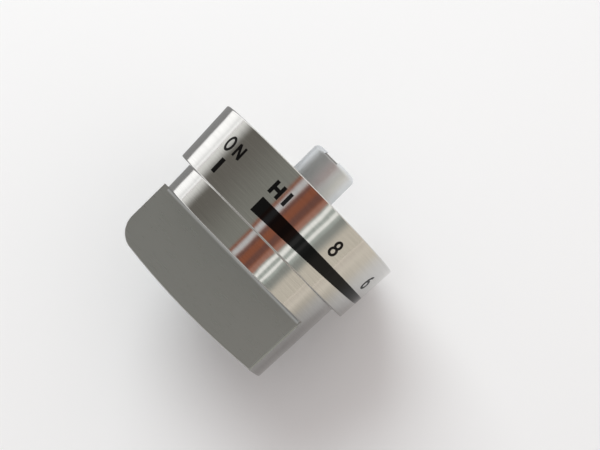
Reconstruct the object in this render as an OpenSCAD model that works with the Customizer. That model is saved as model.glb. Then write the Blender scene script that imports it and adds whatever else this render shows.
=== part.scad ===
// Control knob for a gas burner valve. Skirt, collar, grip bar and stem are one casting, cored out from behind, and a
// spring clip in the shaft socket holds it on the valve. The knob lies as on an upright panel: its axis runs along Y,
// the stem points to +Y, the grip to -Y, and one flat of the grip faces up. The origin is the centre of the socket's
// mouth. Everything is drawn with the axis along Z and the front upwards, and turned as a whole at the end.

/* [Skirt] */
// Diameter at the back edge
skirt_d = 50; // [48:0.5:60]
// Height along the axis
skirt_h = 14.6; // [12:0.2:20]
// Draft of the side, which narrows towards the front, in degrees
skirt_draft = 3; // [0:0.5:4]
// Thickness of the wall
skirt_wall = 2.2; // [1.6:0.1:3]

/* [Collar] */
// Diameter where it leaves the skirt
collar_d = 43.6; // [41:0.2:45]
// Height along the axis
collar_h = 6.7; // [5:0.1:10]
// Draft of the side and of the flush end of the grip, in degrees
collar_draft = 2; // [0:0.5:3]
// Thickness of the side wall, of the front web and of the shoulder
collar_wall = 2.4; // [1.8:0.1:3]
// Thickness of the ribs between stem and collar
rib_t = 1.6; // [1:0.1:2.5]
// Number of ribs
rib_count = 4; // [4:4:8]

/* [Grip] */
// Height at the crown of its front
grip_h = 15.8; // [13:0.2:22]
// Thickness between the two flats
grip_t = 11.4; // [9.6:0.2:14]
// From the axis to the squared end
grip_reach = 22; // [21.6:0.1:24]
// Radius of the crowned front, seen square to a flat
crown_r = 185; // [120:5:400]
// Radius of the front corner at the squared end
corner_r = 5.2; // [3:0.2:7]
// Radius of the fillet at the foot of the flats
foot_r = 1; // [0.5:0.1:1.5]
// Thickness of the walls round the two cores
grip_wall = 2.6; // [2:0.1:3.2]

/* [Stem] */
// Outside diameter
stem_d = 11.5; // [11:0.1:13]
// How far it stands out behind the skirt
stem_out = 8.2; // [4:0.2:14]
// Rounding of its end
stem_edge_r = 1.1; // [0.3:0.1:1.2]

/* [Shaft socket] */
// Diameter of the valve shaft
shaft_d = 8; // [7:0.1:8.2]
// From the axis to the flat of the valve shaft
shaft_flat = 2.5; // [2:0.1:2.9]
// Room round the shaft, on the radius
shaft_gap = 0.05; // [0.02:0.01:0.1]
// Diameter of the round lead-in
lead_d = 8.6; // [8.4:0.1:9]
// Depth of the round lead-in
lead_depth = 4; // [3:0.2:6]
// Depth of the whole socket
socket_depth = 18; // [17.5:0.5:24]

/* [Spring clip] */
// Thickness of the strip
clip_t = 0.4; // [0.2:0.05:0.5]
// Width of the strip
clip_w = 3.4; // [2.4:0.1:4.4]
// Length of the bow that presses on the flat
clip_bow_l = 11; // [8:0.5:11]
// How far the bow stands past the flat
clip_press = 0.1; // [0:0.05:0.3]
// Room on each side of the strip and past its end
clip_gap = 0.1; // [0.05:0.05:0.3]
// Depth of the tab below the stem's end
tab_recess = 0.4; // [0:0.1:0.6]
// Wall left outside the slot
slot_wall = 1; // [0.8:0.1:1.2]

/* [Edges] */
// Rounding of the outer edges
edge_r = 0.3; // [0.1:0.05:0.5]
// Fillets inside the casting
cast_r = 1; // [0.4:0.1:1.2]

/* [Hidden] */
$fn = 96;

// Steps in one rounded corner of an outline
corner_steps = 6;
// Steps along the crown and along the clip's bow
curve_steps = 24;
// Depth of the grip's rim, and how far inside it what it encloses begins
rim_depth = 4 * edge_r;
rim_inset = 2.5 * edge_r;
// How far a cutting or joining shape runs past the face that it meets
over = 0.5;
// How far the cut for a rounded edge reaches outside that edge
edge_room = 4 * over;

skirt_r = skirt_d / 2;
stem_r = stem_d / 2;
half_t = grip_t / 2;

// Heights along the axis, from the end of the stem
skirt_z = stem_out;
collar_z = skirt_z + skirt_h;
grip_z = collar_z + collar_h;
front_z = grip_z + grip_h;
shoulder_z = collar_z - collar_wall;
web_z = grip_z - collar_wall;

function skirt_radius(z) = skirt_r - (z - skirt_z) * tan(skirt_draft);
function collar_radius(z) = collar_d / 2 - (z - collar_z) * tan(collar_draft);

// Crown and front corner of the grip, in the plane of its flat
crown_z = front_z - crown_r;
corner_x = corner_r - grip_reach;
corner_z = crown_z + sqrt(pow(crown_r - corner_r, 2) - pow(corner_x, 2));
corner_lean = asin(-corner_x / (crown_r - corner_r));
function crown_height(x) = crown_z + sqrt(pow(crown_r, 2) - pow(x, 2));

// Front edge of the flush end, where the drafted side meets the crown
end_z = crown_height(collar_radius(front_z));
end_r = collar_radius(end_z);
end_slope = asin(end_r / crown_r);

// Cores of the grip
core_in = stem_r + edge_r + cast_r / 2;
core_out = end_r - grip_wall;
core_top = end_z - grip_wall;

// Shaft socket and the clip in it
flat_y = shaft_flat + shaft_gap;
slot_y = stem_r - slot_wall;
slot_w = clip_w + 2 * clip_gap;
tab_z = tab_recess + clip_t;
bow_z = lead_depth + clip_t;
bow_depth = slot_y - clip_t - (flat_y - clip_press);
clip_end = bow_z + clip_bow_l;
tab_tip = stem_r - stem_edge_r / 2;

function unit(v) = v / norm(v);

// One corner of an outline as an arc that touches both of its sides
function corner(before, at, after, r) =
    let (
        a = unit(before - at),
        b = unit(after - at),
        half = acos(a * b) / 2,
        centre = at + unit(a + b) * r / sin(half),
        first = unit(at + a * r / tan(half) - centre),
        last = unit(at + b * r / tan(half) - centre)
    )
    [for (i = [0:corner_steps]) centre + r * unit(first + (last - first) * i / corner_steps)];

// An outline given as [x, y, radius] points
function rounded(points) = [
    for (i = [0:len(points) - 1])
        let (
            n = len(points),
            before = points[(i + n - 1) % n],
            at = points[i],
            after = points[(i + 1) % n],
            xy = [at.x, at.y]
        )
        each at.z > 0 ? corner([before.x, before.y], xy, [after.x, after.y], at.z) : [xy]
];

// Skirt, collar, hollow back and stem, turned about the axis
module turned_casting() {
    skirt_in = skirt_r - skirt_wall;
    rotate_extrude()
        polygon(rounded([
            [0, 0, 0],
            [stem_r, 0, stem_edge_r],
            [stem_r, web_z, cast_r],
            [collar_radius(web_z) - collar_wall, web_z, cast_r],
            [collar_radius(shoulder_z) - collar_wall, shoulder_z, edge_r],
            [skirt_radius(shoulder_z) - skirt_wall, shoulder_z, cast_r],
            [skirt_in, skirt_z, edge_r],
            [skirt_r, skirt_z, edge_r],
            [skirt_radius(collar_z), collar_z, edge_r],
            [collar_d / 2, collar_z, edge_r],
            [collar_radius(grip_z), grip_z, 0],
            [0, grip_z, 0]
        ]));
}

// Ribs in the collar, between stem and wall
module ribs() {
    rib_l = collar_radius(web_z) - collar_wall - stem_r + 2 * over;
    for (i = [0:rib_count - 1])
        rotate([0, 0, (i + 0.5) * 360 / rib_count])
            translate([stem_r - over, -rib_t / 2, shoulder_z])
                cube([rib_l, rib_t, collar_h + over]);
}

// Section across the rim of the grip: its outer edge at x = 0 has rounded corners
module rim_section() {
    polygon(rounded([
        [-rim_depth, -half_t, 0],
        [0, -half_t, edge_r],
        [0, half_t, edge_r],
        [-rim_depth, half_t, 0]
    ]));
}

// The rim section carried up the squared end, round the front corner and along the crown
module grip_rim() {
    sweep = corner_lean + asin(collar_d / 2 / crown_r);
    translate([-grip_reach, 0, web_z + over])
        linear_extrude(corner_z - web_z - over)
            rotate(180)
                rim_section();
    translate([corner_x, 0, corner_z])
        rotate([90, 0, 0])
            rotate_extrude(angle = 90 - corner_lean, start = 90 + corner_lean)
                translate([corner_r, 0])
                    rim_section();
    translate([0, 0, crown_z])
        rotate([90, 0, 0])
            rotate_extrude(angle = sweep, start = 90 + corner_lean - sweep)
                translate([crown_r, 0])
                    rim_section();
}

// What the rim encloses
module grip_core() {
    lean = asin(collar_d / 2 / (crown_r - rim_inset));
    round_corner = [
        for (i = [0:corner_steps])
            let (a = 180 - i * (90 - corner_lean) / corner_steps)
            [corner_x + (corner_r - rim_inset) * cos(a), corner_z + (corner_r - rim_inset) * sin(a)]
    ];
    crown = [
        for (i = [1:curve_steps])
            let (a = 90 + corner_lean - i * (corner_lean + lean) / curve_steps)
            [(crown_r - rim_inset) * cos(a), crown_z + (crown_r - rim_inset) * sin(a)]
    ];
    foot = [
        [collar_d / 2, web_z + over],
        [rim_inset - grip_reach, web_z + over]
    ];
    rotate([90, 0, 0])
        linear_extrude(grip_t, center = true)
            polygon(concat(round_corner, crown, foot));
}

// The grip bar: one end flush with the drafted collar, the other squared and standing past it
module grip() {
    intersection() {
        union() {
            grip_rim();
            grip_core();
        }
        union() {
            translate([0, 0, web_z])
                cylinder(h = front_z - web_z, r1 = collar_radius(web_z), r2 = collar_radius(front_z));
            translate([-2 * grip_reach, -grip_t, grip_z])
                cube([2 * grip_reach, 2 * grip_t, 2 * grip_h]);
        }
    }
}

// Fillets where the flats stand on the collar
module grip_feet() {
    fillet = corner([half_t, front_z], [half_t, grip_z], [collar_d, grip_z], foot_r);
    section = concat(fillet, [[half_t + foot_r, grip_z - over], [0, grip_z - over], [0, grip_z + foot_r]]);
    intersection() {
        for (side = [0, 180])
            rotate([90, 0, 90 + side])
                linear_extrude(collar_d, center = true)
                    polygon(section);
        translate([0, 0, web_z])
            cylinder(h = front_z - web_z, r1 = collar_radius(web_z), r2 = collar_radius(front_z));
    }
}

// Cuts an edge of revolution to an arc: the sides of the edge run towards before and after
module edge_cut(before, at, after) {
    arc = corner(before, at, after, edge_r);
    rotate_extrude()
        polygon(concat(
            arc,
            [
                [arc[corner_steps].x, at.y + edge_room],
                [at.x + edge_room, at.y + edge_room],
                [at.x + edge_room, arc[0].y]
            ]
        ));
}

// Rounds the collar's front edge beside the grip
module collar_edge_cut() {
    difference() {
        edge_cut([collar_d / 2, collar_z], [collar_radius(grip_z), grip_z], [0, grip_z]);
        cube([2 * collar_d, grip_t, 4 * front_z], center = true);
    }
}

// Rounds the front edge of the flush end and breaks its two upright edges
module flush_end_cut() {
    start_z = grip_z + foot_r;
    start_x = sqrt(pow(collar_radius(start_z), 2) - pow(half_t, 2));
    top_x = sqrt(pow(end_r, 2) - pow(half_t, 2));
    lean = atan((start_x - top_x) / (end_z - start_z));
    face = 45 + asin(half_t / end_r) / 2;
    intersection() {
        edge_cut([collar_radius(grip_z), grip_z], [end_r, end_z], [0, end_z + end_r * tan(end_slope)]);
        translate([0, -grip_t, grip_z])
            cube([collar_d, 2 * grip_t, 2 * grip_h]);
    }
    for (side = [-1, 1])
        translate([start_x, side * half_t, start_z])
            rotate([0, -lean, 0])
                rotate([0, 0, side * face])
                    translate([-edge_r / 2, -edge_r, 0])
                        cube([2 * edge_r, 2 * edge_r, 2 * grip_h]);
}

// Cores from behind on both sides of the stem, which leave even walls in the grip
module grip_cores() {
    half_w = half_t - grip_wall;
    outline = rounded([
        [core_in, -half_w, cast_r],
        [core_out, -half_w, cast_r],
        [core_out, half_w, cast_r],
        [core_in, half_w, cast_r]
    ]);
    for (side = [0, 180])
        rotate([0, 0, side])
            translate([0, 0, web_z - over])
                linear_extrude(core_top - web_z + over)
                    polygon(outline);
}

// Round lead-in, then the socket with one flat, and beside the flat the slot and notch of the clip
module shaft_socket() {
    translate([0, 0, -over])
        cylinder(h = lead_depth + over, d = lead_d);
    difference() {
        cylinder(h = socket_depth, r = shaft_d / 2 + shaft_gap);
        translate([-shaft_d, flat_y, -over])
            cube([2 * shaft_d, shaft_d, 2 * socket_depth]);
    }
    translate([-slot_w / 2, 0, -over])
        cube([slot_w, slot_y, clip_end + clip_gap + over]);
    translate([-slot_w / 2, slot_y - clip_t, -over])
        cube([slot_w, stem_r, tab_z + over]);
}

module knob_body() {
    color([0.62, 0.62, 0.6])
        rotate([90, 0, 0])
            difference() {
                union() {
                    turned_casting();
                    ribs();
                    grip();
                    grip_feet();
                }
                collar_edge_cut();
                flush_end_cut();
                grip_cores();
                shaft_socket();
            }
}

// A bent strip: a tab in the notch, a leg on the floor of the slot and a bow that stands out to the flat
module spring_clip() {
    bow = [
        for (i = [0:curve_steps])
            let (
                turn = 360 * i / curve_steps,
                middle = [slot_y - clip_t / 2 - bow_depth * (1 - cos(turn)) / 2, bow_z + clip_bow_l * i / curve_steps],
                slope = -bow_depth * PI / clip_bow_l * sin(turn)
            )
            [middle, unit([1, -slope]) * clip_t / 2]
    ];
    back = [for (p = bow) p[0] + p[1]];
    face = [for (i = [curve_steps:-1:0]) bow[i][0] - bow[i][1]];
    tab = [
        [slot_y - clip_t, tab_recess],
        [tab_tip, tab_recess],
        [tab_tip, tab_z],
        [slot_y, tab_z]
    ];
    color([0.45, 0.47, 0.5])
        rotate([90, 0, 0])
            rotate([90, 0, 90])
                linear_extrude(clip_w, center = true)
                    polygon(concat(tab, back, face));
}

knob_body();
spring_clip();
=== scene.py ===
import math

import bmesh
import bpy
import numpy as np
from mathutils import Matrix, Vector


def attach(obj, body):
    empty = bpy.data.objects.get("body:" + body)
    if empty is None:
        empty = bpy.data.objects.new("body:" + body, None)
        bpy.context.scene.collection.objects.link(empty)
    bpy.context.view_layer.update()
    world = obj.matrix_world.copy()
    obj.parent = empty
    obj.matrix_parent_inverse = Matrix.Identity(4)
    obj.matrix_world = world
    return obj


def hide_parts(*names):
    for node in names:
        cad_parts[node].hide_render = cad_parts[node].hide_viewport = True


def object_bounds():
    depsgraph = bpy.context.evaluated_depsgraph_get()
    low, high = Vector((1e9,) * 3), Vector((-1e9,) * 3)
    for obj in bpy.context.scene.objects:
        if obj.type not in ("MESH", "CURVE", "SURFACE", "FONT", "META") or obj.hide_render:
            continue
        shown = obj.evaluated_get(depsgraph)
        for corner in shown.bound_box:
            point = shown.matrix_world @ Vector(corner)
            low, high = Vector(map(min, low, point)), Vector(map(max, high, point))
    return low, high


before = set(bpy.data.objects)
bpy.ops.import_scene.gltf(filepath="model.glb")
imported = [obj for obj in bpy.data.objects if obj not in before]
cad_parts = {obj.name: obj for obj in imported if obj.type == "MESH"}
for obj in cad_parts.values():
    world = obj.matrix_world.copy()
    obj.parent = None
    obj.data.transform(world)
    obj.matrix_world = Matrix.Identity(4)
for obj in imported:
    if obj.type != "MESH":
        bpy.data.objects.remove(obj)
cad_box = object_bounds()

MM = 0.001

# Sizes of the knob, from the part's own frame: the axis runs along Y and the stem's end is at 0
SKIRT_BACK_Y = -8.2 * MM
SKIRT_FRONT_Y = -22.8 * MM
SKIRT_BACK_R = 25.0 * MM
SKIRT_DRAFT = math.radians(3.0)
SKIRT_WALL = 2.2 * MM
EDGE_R = 0.3 * MM
COLLAR_DRAFT = math.radians(2.0)
COLLAR_FRONT_Y = -29.5 * MM
COLLAR_IN_R = 19.5 * MM
SHOULDER_BACK_Y = -20.4 * MM
WEB_BACK_Y = -27.1 * MM
STEM_R = 5.75 * MM
GRIP_HALF_T = 5.7 * MM
CORE_HALF_W = 3.1 * MM
CORE_END_X = 18.6 * MM
CORE_END_Y = -41.6 * MM

# Finishes of the casting, in the order of its material slots
PLATE, FLAT, INSIDE, STEM = range(4)

# Telling the finishes apart by place: tolerances, and the share of the skirt's wall past which it is inside
NEAR = 0.1 * MM
CLOSE = 0.02 * MM
WALL_SHARE = 0.6

# Mesh of the casting: points this near are one, and edges sharper than this angle stay sharp
MERGE = 0.0005 * MM
SHARP_ANGLE = math.radians(32.0)

# How well a face has to agree with a cone about the axis, or with a plane, to get that shape's own normals
OUTWARD = 0.99
SAME_DRAFT = 0.003
SAME_PLANE = 0.99999
LEAST_RADIUS = 0.01 * MM

# Colours of the metals
PLATE_COLOUR = (0.62, 0.615, 0.60)
FLAT_COLOUR = (0.59, 0.605, 0.61)
INSIDE_COLOUR = (0.42, 0.42, 0.42)
STEM_COLOUR = (0.76, 0.79, 0.815)
CLIP_COLOUR = (0.72, 0.74, 0.76)

# Grain of the metals: waves per metre, or per radian along the turned lines, and the depth of its relief
TURNED_FINE = 9000
TURNED_LONG = 3
STRAIGHT_FINE = 7000
STRAIGHT_LONG = 150
CAST_FINE = 2500
LINE_DETAIL = 3.0
CAST_DETAIL = 4.0
GRAIN_DEPTH = 0.01 * MM
GRAIN_MIDDLE = 0.5
ROUGHNESS_CONTRAST = 0.5

# Print on the skirt: heights as shares of the skirt from its back edge, angles from +Z towards +X in degrees
LETTER_BAND = (0.26, 0.51)
BOLD_BAND = (0.247, 0.522)
FIGURE_BAND = (0.248, 0.508)
INDEX_BAND = (0.60, 0.845)
OFF_ANGLE = -90.0
ON_ANGLE = -28.2
HIGH_ANGLE = 6.5
LOW_ANGLE = 188.4
FIGURE_ANGLES = {"8": 44.8, "6": 80.4, "4": 116.4, "2": 152.4}
WEDGE_TOP = 0.588
WEDGE_BOTTOM = 0.843
WEDGE_ANGLES = (1.7, 184.0)
INDEX_WIDTH = 1.3 * MM
LETTER_STROKE = 0.62 * MM
BOLD_STROKE = 0.85 * MM
FIGURE_STROKE = 0.6 * MM
LETTER_GAP = 1.05 * MM
PRINT_LIFT = 0.02 * MM
PRINT_DEPTH = 0.05 * MM

# Mesh of the print: points along its strokes, the share at which the wedge stops, and how near is one point
LINE_POINTS = 13
ARC_POINTS = 49
INDEX_POINTS = (5, 9)
WEDGE_POINTS = (181, 5)
WEDGE_END = 0.995
SAME_PLACE = 0.001 * MM

# Ink of the print
INK = (0.002, 0.002, 0.002)
INK_ROUGHNESS = 0.04
INK_UNEVENNESS = 0.06
INK_SHEEN = 0.2

# Colours of the floor, and of the cards that stand round the knob's axis and that only reflections show
PALE = (0.90, 0.90, 0.90)
# PALE_WARM is a painted warm tint and WHITE_WARM the tint of painted glows; only reflections show them on the
# floor
PALE_WARM = (0.90, 0.84, 0.73)
WHITE = (1.0, 1.0, 1.0)
WHITE_WARM = (1.0, 0.93, 0.81)
DARK_GREY = (0.18, 0.17, 0.15)
MID_GREY = (0.28, 0.28, 0.25)
PALE_CARD = (0.98, 0.98, 0.95)
PALE_STRIP = (0.68, 0.68, 0.68)
# Brown cards: colours of painted brown reflections on the metal, not of rust
BROWN_CARD = (0.32, 0.11, 0.06)
DARK_BROWN_CARD = (0.20, 0.09, 0.07)
LIGHT_BROWN_CARD = (0.46, 0.22, 0.16)
COOL_GREY = (0.48, 0.52, 0.48)
BRIGHT_STRIP = (1.2, 1.2, 1.15)
SHADE_GREY = (0.34, 0.35, 0.32)
BEIGE = (0.74, 0.68, 0.58)

# Cards in the order in which they cover each other: colour, middle, half width and soft edge, the last three
# in degrees from straight up towards +X. Behind them lies grey, which grows lighter over the grey span.
CARDS = (
    (BROWN_CARD, 18.0, 16.0, 4.0),
    (DARK_BROWN_CARD, 13.0, 0.5, 3.0),
    (DARK_BROWN_CARD, 26.5, 1.5, 4.0),
    (LIGHT_BROWN_CARD, 35.0, 1.5, 4.0),
    (PALE_STRIP, 7.0, 1.2, 4.0),
    (SHADE_GREY, 54.0, 14.0, 3.0),
    (COOL_GREY, 47.0, 8.0, 3.0),
    (BRIGHT_STRIP, 41.7, 1.3, 2.0),
    (BRIGHT_STRIP, 50.5, 0.8, 2.2),
    (BEIGE, 92.0, 20.0, 11.0),
    (PALE_CARD, -92.0, 2.0, 19.5),
)
GREY_SPAN = (-65.0, 0.0)

# Floor, and the painted shades, painted warm tint and painted glows that only reflections show on it. Each
# span gives, along X or Y, where one starts and where it is full.
FLOOR_HALF = 2.5
FLOOR_ROUGHNESS = 0.7
FLOOR_SHEEN = 0.2
# Painted dark strip that only reflections show on the floor: its middle along X, half width, soft edge and
# darkness
STRIP_X = -60.0 * MM
STRIP_HALF = 20.0 * MM
STRIP_SOFT = 5.0 * MM
STRIP_SHADE = 0.68
# Where the painted warm tint of the floor in reflections starts and is full along X
WARM_SPAN = (40.0 * MM, 110.0 * MM)
# Painted shadow of the grip that only reflections show on the floor: where it starts and is full along X and
# Y, and its depth
GRIP_SPAN_X = (0.0, 40.0 * MM)
GRIP_SPAN_Y = (-2.0 * MM, -38.0 * MM)
GRIP_SHADE = 0.4
# Painted glows that only reflections show on the floor, and a painted loss of glow further left: their spans
# along X and strengths
RIGHT_SPAN = (60.0 * MM, 200.0 * MM)
RIGHT_GLOW = 0.05
FAR_RIGHT_SPAN = (350.0 * MM, 1000.0 * MM)
FAR_RIGHT_GLOW = 0.18
LEFT_SPAN = (-80.0 * MM, -96.0 * MM)
LEFT_GLOW = 0.55
FAR_LEFT_SPAN = (-120.0 * MM, -300.0 * MM)
FAR_LEFT_LOSS = 0.43
HORIZON_SPAN = (-300.0 * MM, -500.0 * MM)
HORIZON_GLOW = 0.22

# Light: the fill, the backdrop that the camera sees, the ends of the axis that reflections show, and the lamp
FILL = 1.3
FILL_TINT = (1.0, 0.945, 0.935)
BACKDROP = 0.92
END_TINT = (1.0, 0.98, 0.94)
END_SPAN = (0.35, 0.8)
FRONT_SPAN = (0.2, 0.8)
FRONT_LEFT = 0.5
FRONT_RIGHT = 0.35
BACK_SPAN = (-0.5, 0.5)
BACK_END = 0.95
LAMP_SIZE = 0.6
LAMP_POWER = 4.6
LAMP_TINT = (0.93, 1.0, 1.01)
LAMP_PLACE = (-0.52, 0.31, 0.56)

# Camera: the photograph's scale, the view's turn about the knob's axis and its lean towards the grip
PIXEL = 0.215 * MM
PICTURE_WIDTH = 600
DISTANCE_PIXELS = 1825
SENSOR = 36.0
NEAREST = 0.01
VIEW_TURN = math.radians(14.0)
VIEW_LEAN = math.radians(1.0)
VIEW_ROLL = math.radians(44.55)
AIM_ACROSS = 19.1 * PIXEL
AIM_Y = -15.1 * MM

# Times a vector, this leaves the part square to the axis
OFF_AXIS = np.array([1.0, 0.0, 1.0])

# Sockets of the Mix node that take and give colours
MIX_AMOUNT = 0
MIX_FIRST = 6
MIX_SECOND = 7
MIX_RESULT = 2


class Tree:
    """A shader node tree that adds nodes by type and hands back their outputs as values."""

    def __init__(self, owner):
        owner.use_nodes = True
        self.tree = owner.node_tree
        self.tree.nodes.clear()

    def node(self, kind, settings=None, sockets=None, output=0):
        """Adds one node. Settings are set first, then each socket gets a link or a constant."""
        made = self.tree.nodes.new(kind)
        for name, value in (settings or {}).items():
            setattr(made, name, value)
        for name, value in (sockets or {}).items():
            socket = made.inputs[name]
            if isinstance(value, Value):
                self.tree.links.new(value.socket, socket)
            elif socket.type == "RGBA":
                socket.default_value = (*value, 1.0)
            else:
                socket.default_value = value
        return Value(self, made.outputs[output]) if len(made.outputs) else None

    def math(self, operation, *terms):
        """One Math node on values or numbers."""
        return self.node("ShaderNodeMath", {"operation": operation}, dict(enumerate(terms)))

    def place(self, kind):
        """X, Y and Z of one kind of texture coordinate, as three values."""
        coordinate = self.node("ShaderNodeTexCoord", None, None, kind)
        split = self.node("ShaderNodeSeparateXYZ", None, {"Vector": coordinate}).socket.node
        return [Value(self, socket) for socket in split.outputs]

    def ray(self, kind):
        """1 where the ray is of the kind that the Light Path node names, and 0 elsewhere."""
        return self.node("ShaderNodeLightPath", None, None, kind)

    def noise(self, x, y, z, detail):
        """Noise round 0.5 at a place given by three values."""
        vector = self.node("ShaderNodeCombineXYZ", None, {"X": x, "Y": y, "Z": z})
        sockets = {"Vector": vector, "Scale": 1.0, "Detail": detail}
        return self.node("ShaderNodeTexNoise", {"noise_dimensions": "3D"}, sockets)

    def scaled(self, colour, amount):
        """A colour times a number."""
        return self.node("ShaderNodeVectorMath", {"operation": "SCALE"}, {0: colour, "Scale": amount})

    def mixed(self, amount, first, second):
        """From the first colour to the second as the amount goes from 0 to 1."""
        sockets = {MIX_AMOUNT: amount, MIX_FIRST: first, MIX_SECOND: second}
        return self.node("ShaderNodeMix", {"data_type": "RGBA"}, sockets, MIX_RESULT)

    def ease(self, value, span):
        """A smooth step from 0 where the value is the span's start to 1 where it is the span's end."""
        start, end = span
        sockets = {"Value": value, "From Min": start, "From Max": end, "To Min": 0.0, "To Max": 1.0}
        return self.node("ShaderNodeMapRange", {"interpolation_type": "SMOOTHSTEP"}, sockets)

    def band(self, value, middle, half, soft):
        """1 within half of the middle, easing to 0 over the soft edge at both sides."""
        return self.ease(self.math("ABSOLUTE", value - middle), (half + soft, half))

    def sky(self, colour, strength):
        """Light of a colour from far away."""
        return self.node("ShaderNodeBackground", None, {"Color": colour, "Strength": strength})

    def blend(self, amount, first, second):
        """From the first shader to the second as the amount goes from 0 to 1."""
        return self.node("ShaderNodeMixShader", None, {0: amount, 1: first, 2: second})


class Value:
    """A socket in a tree. Arithmetic on it adds Math nodes."""

    def __init__(self, tree, socket):
        self.tree = tree
        self.socket = socket

    def __add__(self, other):
        return self.tree.math("ADD", self, other)

    def __radd__(self, other):
        return self.tree.math("ADD", other, self)

    def __sub__(self, other):
        return self.tree.math("SUBTRACT", self, other)

    def __rsub__(self, other):
        return self.tree.math("SUBTRACT", other, self)

    def __mul__(self, other):
        return self.tree.math("MULTIPLY", self, other)

    def __rmul__(self, other):
        return self.tree.math("MULTIPLY", other, self)


def turned_lines(tree):
    """Brush lines round the axis: noise that is fine along axis and radius, and long along the angle."""
    x, y, z = tree.place("Object")
    radius = tree.math("SQRT", x * x + z * z)
    angle = tree.math("ARCTAN2", x, z)
    return tree.noise(y * TURNED_FINE, radius * TURNED_FINE, angle * TURNED_LONG, LINE_DETAIL)


def straight_lines(tree):
    """Brush lines along the length of the grip: noise that is fine across it and long along X."""
    x, y, z = tree.place("Object")
    return tree.noise(x * STRAIGHT_LONG, y * STRAIGHT_FINE, z * STRAIGHT_FINE, LINE_DETAIL)


def cast_grain(tree):
    """The even fine grain of a cast and plated surface."""
    x, y, z = tree.place("Object")
    return tree.noise(x * CAST_FINE, y * CAST_FINE, z * CAST_FINE, CAST_DETAIL)


def surface(name, look):
    """A material whose Principled shader gets the inputs that look(tree) gives."""
    material = bpy.data.materials.new(name)
    tree = Tree(material)
    shader = tree.node("ShaderNodeBsdfPrincipled", None, look(tree))
    tree.node("ShaderNodeOutputMaterial", None, {"Surface": shader})
    return material


def metal(name, base, lines, roughness, contrast, bump):
    """A metal whose colour, roughness and relief follow the grain that lines(tree) gives."""

    def look(tree):
        grain = lines(tree)
        relief = {"Strength": bump, "Distance": GRAIN_DEPTH, "Height": grain}
        return {
            "Base Color": tree.scaled(base, 1.0 + contrast * (grain - GRAIN_MIDDLE)),
            "Metallic": 1.0,
            "Roughness": roughness * (1.0 + ROUGHNESS_CONTRAST * (grain - GRAIN_MIDDLE)),
            "Normal": tree.node("ShaderNodeBump", None, relief),
        }

    return surface(name, look)


def ink_look(tree):
    """Black screen print: dark, with a slightly uneven sheen."""
    return {
        "Base Color": INK,
        "Roughness": INK_ROUGHNESS + INK_UNEVENNESS * cast_grain(tree),
        "Specular IOR Level": INK_SHEEN,
    }


def floor_look(tree):
    """Pale and even. Reflections also show a darker strip, shade below the grip, a warm tint and a paler
    distance, all painted.
    """
    x, y, _ = tree.place("Object")
    mirrored = tree.ray("Is Glossy Ray")
    painted_warmth = tree.ease(x, WARM_SPAN)
    right = tree.ease(x, RIGHT_SPAN)
    far_right = tree.ease(x, FAR_RIGHT_SPAN)
    far_left = tree.ease(x, FAR_LEFT_SPAN)
    horizon = tree.ease(x, HORIZON_SPAN)
    # A painted dark strip on the floor, which only reflections show
    painted_dark_strip = STRIP_SHADE * tree.band(x, STRIP_X, STRIP_HALF, STRIP_SOFT)
    # Painted shadow below the grip, which only reflections show; it fades out to the right
    painted_grip_shadow = GRIP_SHADE * tree.ease(x, GRIP_SPAN_X) * tree.ease(y, GRIP_SPAN_Y) * (1.0 - right)
    # Both painted shades darken only what reflections show of the floor
    painted_shading = (1.0 - mirrored * painted_dark_strip) * (1.0 - mirrored * painted_grip_shadow)
    # Painted glow on the floor to the left and right, which only reflections show
    painted_left_glow = tree.ease(x, LEFT_SPAN) * (LEFT_GLOW - FAR_LEFT_LOSS * far_left + HORIZON_GLOW * horizon)
    painted_glow = mirrored * (painted_left_glow + RIGHT_GLOW * right + FAR_RIGHT_GLOW * far_right)
    return {
        "Base Color": tree.scaled(tree.mixed(mirrored * painted_warmth, PALE, PALE_WARM), painted_shading),
        "Roughness": FLOOR_ROUGHNESS,
        "Specular IOR Level": FLOOR_SHEEN,
        "Emission Color": tree.scaled(tree.mixed(painted_warmth, WHITE, WHITE_WARM), painted_glow),
        "Emission Strength": 1.0,
    }


def add_object(name, data):
    """A new object in the scene."""
    made = bpy.data.objects.new(name, data)
    bpy.context.scene.collection.objects.link(made)
    return made


def mesh_piece(name, vertices, faces, material):
    """A new object with its place in its mesh."""
    mesh = bpy.data.meshes.new(name)
    mesh.from_pydata(vertices.tolist(), [], faces.tolist())
    mesh.polygons.foreach_set("use_smooth", np.ones(len(mesh.polygons), bool))
    mesh.materials.append(material)
    mesh.update()
    return add_object(name, mesh)


def numbers(items, name):
    """A whole number of each of a mesh's items."""
    values = np.empty(len(items), np.int32)
    items.foreach_get(name, values)
    return values


def vectors(items, name):
    """A vector of each of a mesh's items, one per row."""
    values = np.empty(len(items) * 3)
    items.foreach_get(name, values)
    return values.reshape(-1, 3)


def skirt_radius(y):
    """Radius of the drafted skirt at a place along the axis."""
    return SKIRT_BACK_R + (y - SKIRT_BACK_Y) * math.tan(SKIRT_DRAFT)


def skirt_y(share):
    """Place along the axis at a share of the skirt's height from its back edge."""
    return SKIRT_BACK_Y + share * (SKIRT_FRONT_Y - SKIRT_BACK_Y)


def on_skirt(angle, y):
    """Points just proud of the skirt at an angle about the axis and a place along it."""
    radius = skirt_radius(y) + PRINT_LIFT
    return np.stack([radius * np.sin(angle), y, radius * np.cos(angle)], axis=-1)


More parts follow.
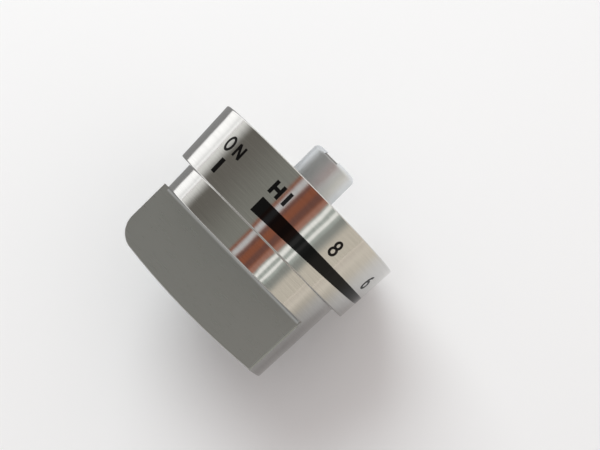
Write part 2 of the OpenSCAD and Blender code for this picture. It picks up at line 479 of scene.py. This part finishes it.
def true_normals(piece):
    """Gives cones about the axis their own normals, planes a flat one, and rounded edges an even blend."""
    mesh = piece.data
    weighted = piece.modifiers.new("weighted", "WEIGHTED_NORMAL")
    weighted.keep_sharp = True
    shaded = piece.evaluated_get(bpy.context.evaluated_depsgraph_get()).data
    normals = vectors(shaded.corner_normals, "vector")
    piece.modifiers.remove(weighted)
    flat = np.repeat(vectors(mesh.polygons, "normal"), numbers(mesh.polygons, "loop_total"), axis=0)
    corner = vectors(mesh.vertices, "co")[numbers(mesh.loops, "vertex_index")]
    out = corner * OFF_AXIS
    out /= np.maximum(np.linalg.norm(out, axis=1), LEAST_RADIUS)[:, None]
    outward = np.sum(out * flat, axis=1) > OUTWARD
    for draft in (SKIRT_DRAFT, COLLAR_DRAFT, 0.0):
        on_cone = outward & (np.abs(flat[:, 1] + math.sin(draft)) < SAME_DRAFT)
        normals[on_cone] = out[on_cone] * math.cos(draft)
        normals[on_cone, 1] = -math.sin(draft)
    on_plane = np.max(np.abs(flat), axis=1) > SAME_PLANE
    normals[on_plane] = flat[on_plane]
    mesh.normals_split_custom_set(normals.tolist())


def merged_copy(source, name):
    """A copy of a mesh with its coincident points joined and its stored normals dropped."""
    work = bmesh.new()
    work.from_mesh(source)
    bmesh.ops.remove_doubles(work, verts=work.verts, dist=MERGE)
    mesh = bpy.data.meshes.new(name)
    work.to_mesh(mesh)
    work.free()
    if "custom_normal" in mesh.attributes:
        mesh.attributes.remove(mesh.attributes["custom_normal"])
    return mesh


def finish_by_place(mesh):
    """The finish of each face, by where its centre lies."""
    x, y, z = vectors(mesh.polygons, "center").T
    radius = np.hypot(x, z)
    behind_rim = y < SKIRT_BACK_Y - EDGE_R
    within_wall = radius < skirt_radius(y) - WALL_SHARE * SKIRT_WALL
    in_skirt = behind_rim & (y > SHOULDER_BACK_Y - NEAR) & within_wall
    in_collar = (y > WEB_BACK_Y - NEAR) & (radius < COLLAR_IN_R)
    in_grip = (y > CORE_END_Y) & (np.abs(z) < CORE_HALF_W + NEAR) & (np.abs(x) < CORE_END_X)
    finish = np.full(len(x), PLATE, np.int32)
    finish[(y < COLLAR_FRONT_Y) & (np.abs(z) > GRIP_HALF_T - CLOSE)] = FLAT
    finish[in_skirt | in_collar | in_grip] = INSIDE
    finish[(radius < STEM_R + CLOSE) & (y > WEB_BACK_Y)] = STEM
    return finish


def casting():
    """The casting's own mesh, merged, with soft edges shaded smooth and a finish for each face."""
    finishes = {
        PLATE: metal("brushed_plate", PLATE_COLOUR, turned_lines, roughness=0.09, contrast=0.35, bump=0.25),
        FLAT: metal("satin_flat", FLAT_COLOUR, straight_lines, roughness=0.30, contrast=0.08, bump=0.1),
        INSIDE: metal("cast_inside", INSIDE_COLOUR, cast_grain, roughness=0.55, contrast=0.2, bump=0.4),
        STEM: metal("satin_stem", STEM_COLOUR, cast_grain, roughness=0.48, contrast=0.1, bump=0.15),
    }
    mesh = merged_copy(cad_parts["knob_body"].data, "knob_casting")
    mesh.materials.clear()
    for finish in sorted(finishes):
        mesh.materials.append(finishes[finish])
    mesh.polygons.foreach_set("material_index", finish_by_place(mesh))
    mesh.polygons.foreach_set("use_smooth", np.ones(len(mesh.polygons), bool))
    mesh.set_sharp_from_angle(angle=SHARP_ANGLE)
    piece = add_object("knob_casting", mesh)
    true_normals(piece)
    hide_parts("knob_body")
    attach(piece, "root")


def line(start, end):
    """A straight stroke: even steps from its start to its end."""
    step = np.linspace(0.0, 1.0, LINE_POINTS)[:, None]
    return np.array(start) + step * (np.array(end) - np.array(start))


def arc(centre, radii, begin, finish):
    """A stroke along part of an ellipse: even steps of angle between two angles in degrees."""
    turn = np.radians(np.linspace(begin, finish, ARC_POINTS))
    return np.stack([centre[0] + radii[0] * np.cos(turn), centre[1] + radii[1] * np.sin(turn)], axis=-1)


# Width and strokes of each plain capital or figure, in shares of its height
GLYPHS = {
    "H": (0.6, [line((0, 0), (0, 1)), line((0.6, 0), (0.6, 1)), line((0, 0.5), (0.6, 0.5))]),
    "I": (0.0, [line((0, 0), (0, 1))]),
    "L": (0.5, [line((0, 0), (0, 1)), line((0, 0), (0.5, 0))]),
    "O": (0.66, [arc((0.33, 0.5), (0.33, 0.5), 0, 360)]),
    "N": (0.6, [line((0, 0), (0, 1)), line((0, 1), (0.6, 0)), line((0.6, 0), (0.6, 1))]),
    "F": (0.5, [line((0, 0), (0, 1)), line((0, 1), (0.5, 1)), line((0, 0.53), (0.42, 0.53))]),
    "8": (0.5, [arc((0.25, 0.76), (0.21, 0.24), 0, 360), arc((0.25, 0.26), (0.25, 0.26), 0, 360)]),
    "6": (0.5, [arc((0.25, 0.31), (0.25, 0.31), 0, 360), arc((0.45, 0.33), (0.45, 0.67), 180, 95)]),
    "4": (0.54, [line((0.4, 0), (0.4, 1)), line((0.4, 1), (0, 0.27)), line((0, 0.27), (0.54, 0.27))]),
    "2": (
        0.5,
        [arc((0.25, 0.73), (0.25, 0.27), 165, -38), line((0.447, 0.563), (0, 0)), line((0, 0), (0.5, 0))],
    ),
}


def ribbon(path, width):
    """A stroke of even width: the path's points moved half a width to each side along its normal."""
    along = np.gradient(path, axis=0)
    if np.allclose(path[0], path[-1]):
        along[[0, -1]] = path[1] - path[-2]
    along /= np.linalg.norm(along, axis=1)[:, None]
    across = np.stack([-along[:, 1], along[:, 0]], axis=-1)
    sides = np.array([0.5, 0.0, -0.5]) * width
    return path[:, None, :] + sides[None, :, None] * across[:, None, :]


def legend(text, angle, band, stroke):
    """Grids of points of a word or figure, centred at an angle, its top towards the stem."""
    top = skirt_y(band[0]) - stroke / 2
    bottom = skirt_y(band[1]) + stroke / 2
    height = top - bottom
    widths = [GLYPHS[sign][0] * height + stroke for sign in text]
    place = -(sum(widths) + LETTER_GAP * (len(text) - 1)) / 2
    grids = []
    for sign, width in zip(text, widths):
        for path in GLYPHS[sign][1]:
            flat = ribbon(path * height, stroke)
            y = flat[..., 1] + bottom
            turn = math.radians(angle) + (flat[..., 0] + place + stroke / 2) / skirt_radius(y)
            grids.append(on_skirt(turn, y))
        place += width + LETTER_GAP
    return grids


def index_bar(angle):
    """A short upright bar below a word: even steps across its width and along its height."""
    columns, rows = INDEX_POINTS
    across, along = np.meshgrid(np.linspace(-0.5, 0.5, columns), np.linspace(0.0, 1.0, rows))
    y = skirt_y(INDEX_BAND[0] + along * (INDEX_BAND[1] - INDEX_BAND[0]))
    return on_skirt(math.radians(angle) + across * INDEX_WIDTH / skirt_radius(y), y)


def wedge():
    """A band round the skirt with a level upper edge and a lower edge that climbs evenly until they meet."""
    columns, rows = WEDGE_POINTS
    along, across = np.meshgrid(np.linspace(0.0, WEDGE_END, columns), np.linspace(0.0, 1.0, rows))
    angle = np.radians(WEDGE_ANGLES[0] + along * (WEDGE_ANGLES[1] - WEDGE_ANGLES[0]))
    share = WEDGE_TOP + across * (WEDGE_BOTTOM - WEDGE_TOP) * (1 - along)
    return on_skirt(angle, skirt_y(share))


def grid_faces(rows, columns, closed):
    """Quads of a rows by columns grid of points. A closed grid also joins its last row to its first."""
    row = np.arange(rows if closed else rows - 1)[:, None]
    column = np.arange(columns - 1)[None, :]
    here = row * columns + column
    after = (row + 1) % rows * columns + column
    return np.stack([here, here + 1, after + 1, after], axis=-1).reshape(-1, 4)


def joined(grids):
    """Points of all the grids, and their faces turned outwards. A grid whose ends meet is closed."""
    points = []
    faces = []
    first = 0
    for grid in grids:
        closed = np.allclose(grid[0], grid[-1], atol=SAME_PLACE)
        grid = grid[:-1] if closed else grid
        rows, columns = grid.shape[:2]
        points.append(grid.reshape(-1, 3))
        faces.append(grid_faces(rows, columns, closed) + first)
        first += rows * columns
    points = np.concatenate(points)
    faces = np.concatenate(faces)
    corners = points[faces]
    normal = np.cross(corners[:, 2] - corners[:, 0], corners[:, 3] - corners[:, 1])
    inward = np.sum(normal * corners.mean(axis=1) * OFF_AXIS, axis=1) < 0
    faces[inward] = faces[inward][:, ::-1]
    return points, faces


def sharp_border(mesh):
    """Marks the edges that only one face uses as sharp, so that a film's sides don't bend its shading."""
    uses = np.bincount(numbers(mesh.loops, "edge_index"), minlength=len(mesh.edges))
    mesh.edges.foreach_set("use_edge_sharp", uses == 1)


def heat_scale():
    """All the print on the skirt as one thin film."""
    grids = [wedge(), index_bar(ON_ANGLE), index_bar(OFF_ANGLE)]
    grids += legend("OFF", OFF_ANGLE, LETTER_BAND, LETTER_STROKE)
    grids += legend("ON", ON_ANGLE, LETTER_BAND, LETTER_STROKE)
    grids += legend("HI", HIGH_ANGLE, BOLD_BAND, BOLD_STROKE)
    for figure, angle in FIGURE_ANGLES.items():
        grids += legend(figure, angle, FIGURE_BAND, FIGURE_STROKE)
    grids += legend("LO", LOW_ANGLE, BOLD_BAND, BOLD_STROKE)
    points, faces = joined(grids)
    piece = mesh_piece("heat_scale_print", points, faces, surface("print_ink", ink_look))
    sharp_border(piece.data)
    film = piece.modifiers.new("film", "SOLIDIFY")
    film.thickness = PRINT_DEPTH
    film.offset = -1.0
    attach(piece, "root")


def clip_finish():
    """Gives the clip's own mesh the look of a spring strip."""
    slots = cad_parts["spring_clip"].data.materials
    slots.clear()
    slots.append(metal("spring_strip", CLIP_COLOUR, straight_lines, roughness=0.4, contrast=0.2, bump=0.2))


def floor():
    """A level square under the skirt."""
    corners = FLOOR_HALF * np.array([[-1.0, -1.0, 0.0], [1.0, -1.0, 0.0], [1.0, 1.0, 0.0], [-1.0, 1.0, 0.0]])
    corners[:, 2] = cad_box[0][2]
    material = surface("pale_floor", floor_look)
    mesh_piece("floor", corners, np.array([[0, 1, 2, 3]]), material)


def cards(tree, x, z):
    """Colours of the cards round the axis, laid over each other by the angle of a direction about it."""
    angle = tree.math("ARCTAN2", x, z) * math.degrees(1.0)
    colour = tree.mixed(tree.ease(angle, GREY_SPAN), DARK_GREY, MID_GREY)
    for card, middle, half, soft in CARDS:
        colour = tree.mixed(tree.band(angle, middle, half, soft), colour, card)
    return colour


def surroundings():
    """A fill that is strongest from +Y, and in reflections the cards round the axis and pale ends."""
    world = bpy.data.worlds.new("studio")
    bpy.context.scene.world = world
    tree = Tree(world)
    x, y, z = tree.place("Generated")
    fill = tree.blend(0.5 + 0.5 * y, tree.sky(FILL_TINT, 0.0), tree.sky(FILL_TINT, FILL))
    direct = tree.blend(tree.ray("Is Camera Ray"), fill, tree.sky(FILL_TINT, BACKDROP))
    front_left = tree.sky(END_TINT, FRONT_LEFT)
    front_right = tree.sky(END_TINT, FRONT_RIGHT)
    front = tree.blend(tree.ease(x, FRONT_SPAN), front_left, front_right)
    ends = tree.blend(tree.ease(y, BACK_SPAN), front, tree.sky(END_TINT, BACK_END))
    towards_end = tree.ease(tree.math("ABSOLUTE", y), END_SPAN)
    reflected = tree.blend(towards_end, tree.sky(cards(tree, x, z), 1.0), ends)
    light = tree.blend(tree.ray("Is Glossy Ray"), direct, reflected)
    tree.node("ShaderNodeOutputWorld", None, {"Surface": light})


def soft_lamp():
    """A square lamp at the upper left of the picture, aimed at the knob and hidden from reflections."""
    data = bpy.data.lights.new("soft_key", "AREA")
    data.shape = "SQUARE"
    data.size = LAMP_SIZE
    data.energy = LAMP_POWER
    data.color = LAMP_TINT
    lamp = add_object("soft_key", data)
    lamp.location = LAMP_PLACE
    lamp.rotation_euler = (Vector((0, AIM_Y, 0)) - lamp.location).to_track_quat("-Z", "Y").to_euler()
    lamp.visible_glossy = False


def camera():
    """Looks at the knob nearly square to its axis, turned about it, the stem pointing to the upper right."""
    turn = Vector((math.sin(VIEW_TURN), 0, math.cos(VIEW_TURN)))
    back = turn * math.cos(VIEW_LEAN) - Vector((0, 1, 0)) * math.sin(VIEW_LEAN)
    across = Vector((math.cos(VIEW_TURN), 0, -math.sin(VIEW_TURN)))
    along = back.cross(across)
    right = along * math.cos(VIEW_ROLL) + across * math.sin(VIEW_ROLL)
    up = along * math.sin(VIEW_ROLL) - across * math.cos(VIEW_ROLL)
    aim = Vector((0, AIM_Y, 0)) + across * AIM_ACROSS
    data = bpy.data.cameras.new("camera")
    data.sensor_width = SENSOR
    data.lens = SENSOR * DISTANCE_PIXELS / PICTURE_WIDTH
    data.clip_start = NEAREST
    eye = add_object("camera", data)
    pose = Matrix((right, up, back)).transposed().to_4x4()
    pose.translation = aim + back * DISTANCE_PIXELS * PIXEL
    eye.matrix_world = pose
    bpy.context.scene.camera = eye


casting()
heat_scale()
clip_finish()
floor()
surroundings()
soft_lamp()
camera()
bpy.context.scene.view_settings.view_transform = "Standard"
